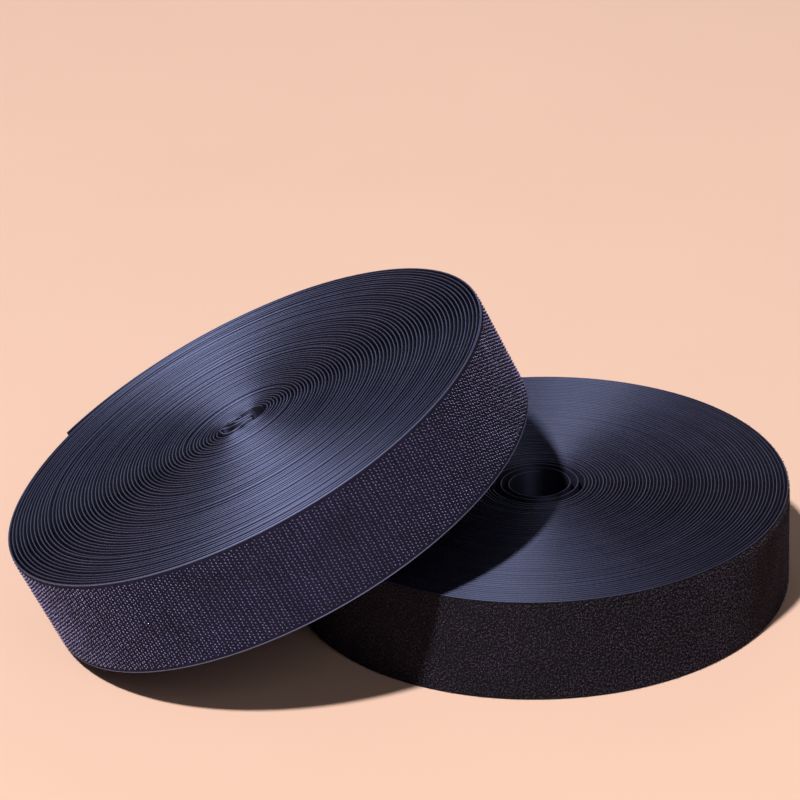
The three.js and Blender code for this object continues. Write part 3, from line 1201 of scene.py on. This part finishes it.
def loop_yarn(tree):
    """Soft brushed yarn without gloss, each loop a little lighter or darker, with painted shade at
    its root and a painted highlight at its tip.
    """
    shade = attribute(tree, "shade")
    # Root dimmed to 0.2 and tip raised to 1.3 of the colour: painted shade and painted highlight
    tip = tip_highlight_root_shade(tree, root=0.2, root_shade=0.2, tip_highlight=1.3)
    patches = mottle(tree, scale=70.0, least=0.65, most=1.3)
    tone = times(tree, scaled(tree, shade, factor=1.2, start=0.4), patches, tip)
    return {
        "Base Color": tinted(tree, colours().loops, tone),
        "Roughness": scaled(tree, shade, factor=0.2, start=0.6),
        "Sheen Weight": 0.04,
        "Sheen Roughness": 0.5,
    }


def floor_paint(tree):
    """Plain pale paint that sends only a part of its light back to the rolls."""
    patches = mottle(tree, scale=2.0, least=0.98, most=1.02)
    tone = times(tree, patches, seen_or_not(tree, 1.0, FLOOR_BOUNCE))
    return {"Base Color": tinted(tree, colours().floor, tone), "Roughness": 0.85}


def seen_or_not(tree, seen, unseen):
    """One number where the camera looks straight at a thing, and another for all other light."""
    looking = put(tree, "ShaderNodeLightPath").outputs["Is Camera Ray"]
    return scaled(tree, looking, seen - unseen, unseen)


class OBJECT_OT_tape_stage(bpy.types.Operator):
    """Sets the floor, the lamps, the sky light and the camera"""

    bl_idname = "object.tape_stage"
    bl_label = "Set The Stage"

    def execute(self, context):
        scene = context.scene
        scene.view_settings.view_transform = "Standard"
        mesh = bpy.data.meshes.new("floor")
        turns = [FULL_TURN * step / FLOOR_SIDES for step in range(FLOOR_SIDES)]
        corners = [(FLOOR_RADIUS * math.cos(a), FLOOR_RADIUS * math.sin(a), 0) for a in turns]
        mesh.from_pydata(corners, [], [tuple(range(FLOOR_SIDES))])
        mesh.materials.append(made_once("pale_floor", floor_paint))
        floor = bpy.data.objects.new("floor", mesh)
        scene.collection.objects.link(floor)

        world = bpy.data.worlds.new("soft_sky")
        world.use_nodes = True
        tree = world.node_tree
        strength = seen_or_not(tree, SKY_SEEN, SKY_LIGHT)
        sky = {"Color": SKY_COLOUR, "Strength": strength}
        feed_all(tree, tree.nodes["Background"].inputs, sky)
        scene.world = world
        for lamp in LAMPS:
            self.hang(scene, *lamp)
        self.aim(scene)
        return {"FINISHED"}

    @staticmethod
    def hang(scene, name, place, width, power, tint):
        """Adds a soft round lamp that shines on the rolls."""
        data = bpy.data.lights.new(name, "AREA")
        data.shape = "DISK"
        data.size = width
        data.energy = power
        data.color = tint
        lamp = bpy.data.objects.new(name, data)
        lamp.location = place
        lamp.rotation_euler = (LAMP_TARGET - Vector(place)).to_track_quat("-Z", "Y").to_euler()
        scene.collection.objects.link(lamp)

    @staticmethod
    def aim(scene):
        """Adds the camera, which is tilted a little to one side."""
        data = bpy.data.cameras.new("camera")
        data.lens = CAMERA_LENS
        data.sensor_width = CAMERA_SENSOR
        data.clip_start, data.clip_end = CAMERA_RANGE
        camera = bpy.data.objects.new("camera", data)
        ahead = (CAMERA_TARGET - CAMERA_PLACE).normalized()
        level = ahead.cross(Vector((0, 0, 1))).normalized()
        up = level.cross(ahead)
        right = level * math.cos(CAMERA_ROLL) + up * math.sin(CAMERA_ROLL)
        top = up * math.cos(CAMERA_ROLL) - level * math.sin(CAMERA_ROLL)
        turn = Matrix((right, top, -ahead)).transposed()
        camera.matrix_world = Matrix.Translation(CAMERA_PLACE) @ turn.to_4x4()
        scene.collection.objects.link(camera)
        scene.camera = camera


class VIEW3D_PT_tape_rolls(bpy.types.Panel):
    """Lists the sizes, the colours and the steps of the tape rolls"""

    bl_idname = "VIEW3D_PT_tape_rolls"
    bl_label = "Tape Rolls"
    bl_space_type = "VIEW_3D"
    bl_region_type = "UI"
    bl_category = "Tape Rolls"

    def draw(self, context):
        layout = self.layout
        for group in (context.scene.tape_sizes, context.scene.tape_colours):
            box = layout.box()
            for key in group.__annotations__:
                box.prop(group, key)
        for step in STEPS:
            layout.operator(step.bl_idname)


STEPS = (
    OBJECT_OT_wind_tapes,
    OBJECT_OT_inner_ends,
    OBJECT_OT_hook_field,
    OBJECT_OT_loop_pile,
    OBJECT_OT_tape_tails,
    OBJECT_OT_tape_stage,
)
CLASSES = (TapeSizes, TapeColours, *STEPS, VIEW3D_PT_tape_rolls)


def register():
    for cls in CLASSES:
        bpy.utils.register_class(cls)
    bpy.types.Scene.tape_sizes = bpy.props.PointerProperty(type=TapeSizes)
    bpy.types.Scene.tape_colours = bpy.props.PointerProperty(type=TapeColours)


def unregister():
    del bpy.types.Scene.tape_colours
    del bpy.types.Scene.tape_sizes
    for cls in reversed(CLASSES):
        bpy.utils.unregister_class(cls)


def main():
    register()
    bpy.ops.object.wind_tapes()
    bpy.ops.object.inner_ends()
    bpy.ops.object.hook_field()
    bpy.ops.object.loop_pile()
    bpy.ops.object.tape_tails()
    bpy.ops.object.tape_stage()


if __name__ == "__main__":
    main()
